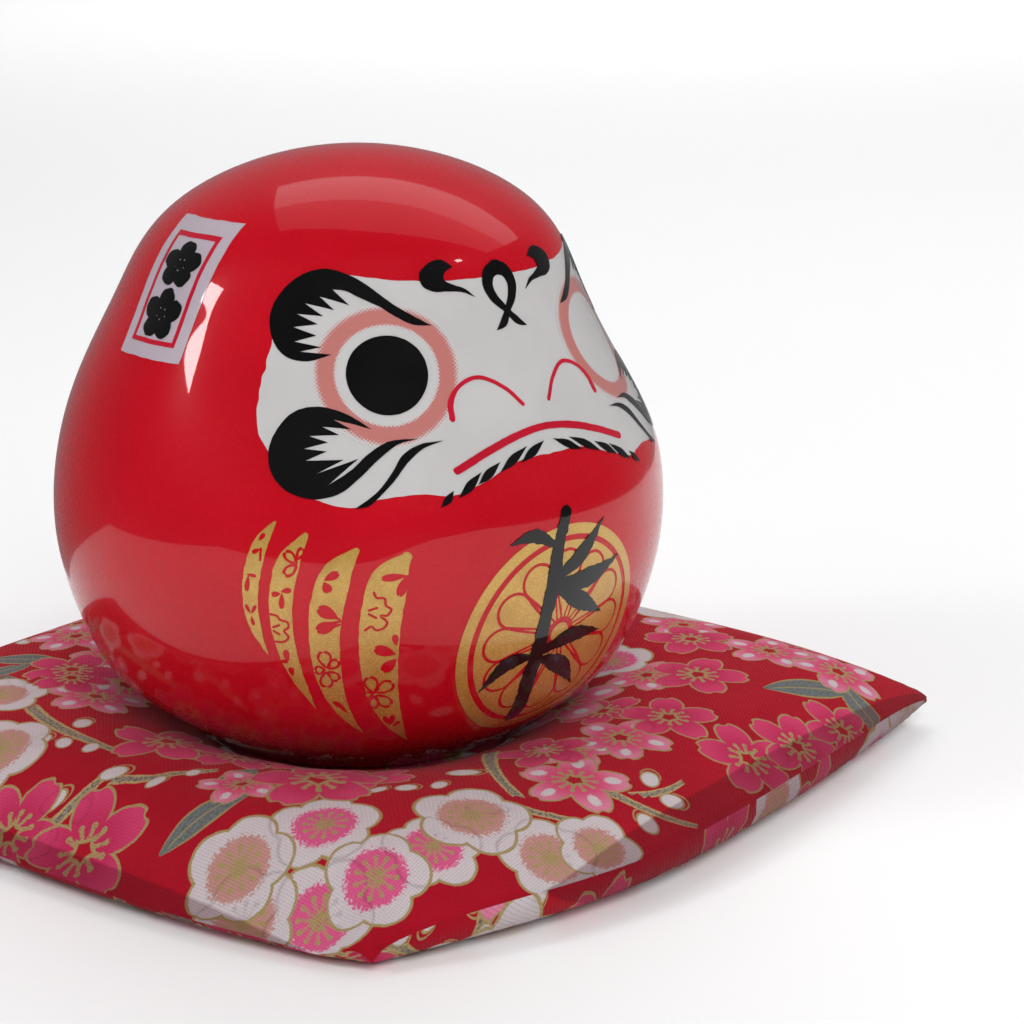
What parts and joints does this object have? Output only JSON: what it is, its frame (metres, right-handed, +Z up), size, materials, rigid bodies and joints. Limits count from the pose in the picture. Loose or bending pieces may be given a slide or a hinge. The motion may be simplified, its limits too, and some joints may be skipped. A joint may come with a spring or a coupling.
{
  "type": "daruma doll",
  "caption": "Round glazed ceramic daruma doll with a painted face and gold marks, standing on a square padded cotton cushion it lifts off.",
  "frame": {"origin": "middle of the cushion's underside, on the surface it lies on", "axes": "+Z up; the doll faces -Y and its own right hand is on -X; the cushion lies turned by 11 degrees about Z"},
  "size_m": [0.1642, 0.1642, 0.1046],
  "materials": {
    "red_glaze": "gloss",
    "white_glaze": "gloss",
    "black_transfer": "satin gloss",
    "red_transfer": "gloss",
    "pink_transfer": "gloss",
    "gold_transfer": "satin metallic lustre",
    "label_white": "gloss",
    "printed_cotton": "matt plain weave, printed with blossoms",
    "filling": "loose polyester wadding",
    "thread": "twisted sewing thread"
  },
  "bodies": {
    "cushion": {"cushion_top": "printed_cotton", "cushion_bottom": "printed_cotton", "cushion_filling": "filling", "closing_thread": "thread"},
    "doll": {"body_shell": "red_glaze", "face_panel": "white_glaze", "pupil_right": "black_transfer", "forehead_loop": "black_transfer", "mouth_line": "red_transfer", "crest_band": "gold_transfer", "crest_disc": "gold_transfer", "belly_brushwork": "black_transfer", "gold_stripes_right": "gold_transfer", "gold_stripes_left": "gold_transfer", "label_ground": "label_white", "label_border": "red_transfer", "label_blossoms": "black_transfer", "brow_right": "black_transfer", "cheek_whorl_right": "black_transfer", "cheek_hair_right": "black_transfer", "forehead_curl_right": "black_transfer", "lip_whiskers_right": "black_transfer", "nose_line_right": "red_transfer", "eye_ring_right": "pink_transfer", "brow_left": "black_transfer", "cheek_whorl_left": "black_transfer", "cheek_hair_left": "black_transfer", "forehead_curl_left": "black_transfer", "lip_whiskers_left": "black_transfer", "nose_line_left": "red_transfer", "eye_ring_left": "pink_transfer"}
  },
  "joints": [
    {"name": "doll_lift", "type": "slide", "parent": "cushion", "child": "doll", "axis": [0, 0, 1], "range_m": [0, 0.05]}
  ]
}
